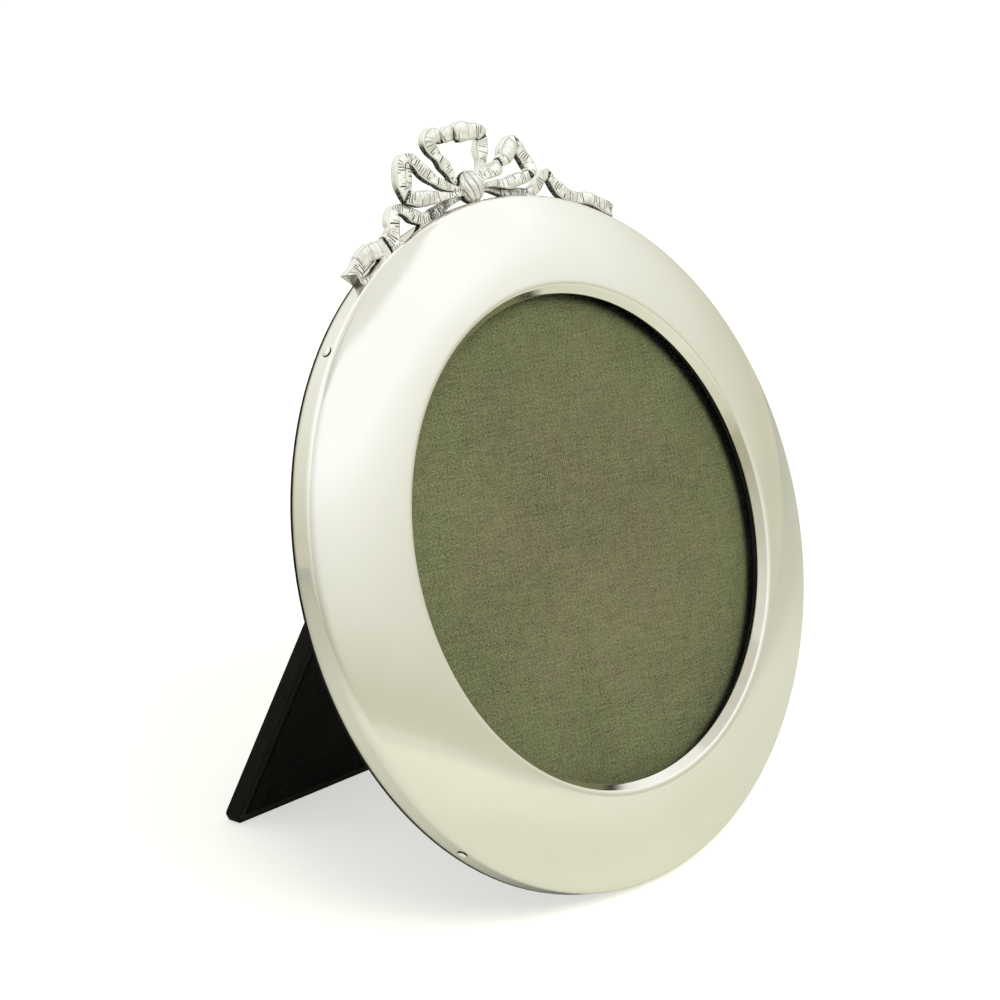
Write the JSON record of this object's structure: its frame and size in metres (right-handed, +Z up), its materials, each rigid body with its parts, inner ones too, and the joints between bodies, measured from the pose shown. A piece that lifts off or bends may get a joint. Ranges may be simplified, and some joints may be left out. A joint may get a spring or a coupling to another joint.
{
  "type": "round photo frame",
  "caption": "Round polished silver easel photo frame with a ribbon bow on its rim, a cloth-covered insert behind glass, a back door held by turn buttons and a hinged strut.",
  "frame": {"origin": "middle of the standing part's footprint, on the surface it stands on", "axes": "+Z up, the front with the sight opening and bow faces -Y and leans back, the strut is on +Y"},
  "size_m": [0.178, 0.1152, 0.1864],
  "materials": {
    "silver": "polished silver",
    "bow_silver": "cast silver, polished, dark in the engraved lines",
    "carcass_wood": "blackened wood",
    "leathercloth": "black grained leathercloth",
    "glass": "clear",
    "green_cloth": "plain woven cloth, grey green",
    "card": "grey-brown card",
    "board_wood": "plain thin board",
    "brass": "lacquered brass"
  },
  "bodies": {
    "frame": {"silver_front": "silver", "rim_pins": "silver", "bow_knot": "bow_silver", "bow_centre_loop": "bow_silver", "bow_left_loop": "bow_silver", "bow_right_loop": "bow_silver", "bow_left_streamer": "bow_silver", "bow_right_streamer": "bow_silver", "carcass_ring": "carcass_wood", "back_facing": "leathercloth", "glass_pane": "glass", "insert_cloth": "green_cloth", "insert_board": "card", "packing_card": "card", "back_door": "board_wood", "door_facing": "leathercloth", "turn_button_screws": "brass", "hinge_door_leaf": "brass", "hinge_pin": "brass", "hinge_door_screws": "brass"},
    "strut": {"strut_board": "board_wood", "strut_lining": "leathercloth", "strut_cover": "leathercloth", "hinge_strut_leaf": "brass", "hinge_strut_screws": "brass"},
    "button_top": {"turn_button_top": "brass"},
    "button_left": {"turn_button_left": "brass"},
    "button_right": {"turn_button_right": "brass"}
  },
  "joints": [
    {"name": "strut_fold", "type": "hinge", "parent": "frame", "child": "strut", "pos_m": [0, 0.00133, 0.13353], "axis": [-1, 0, 0], "range_deg": [0, 40]},
    {"name": "button_top_turn", "type": "hinge", "parent": "frame", "child": "button_top", "pos_m": [0, 0.00654, 0.15398], "axis": [0, -0.9397, 0.342], "continuous": true},
    {"name": "button_left_turn", "type": "hinge", "parent": "frame", "child": "button_left", "pos_m": [-0.06495, -0.03194, 0.04827], "axis": [0, -0.9397, 0.342], "continuous": true},
    {"name": "button_right_turn", "type": "hinge", "parent": "frame", "child": "button_right", "pos_m": [0.06495, -0.03194, 0.04827], "axis": [0, -0.9397, 0.342], "continuous": true}
  ]
}
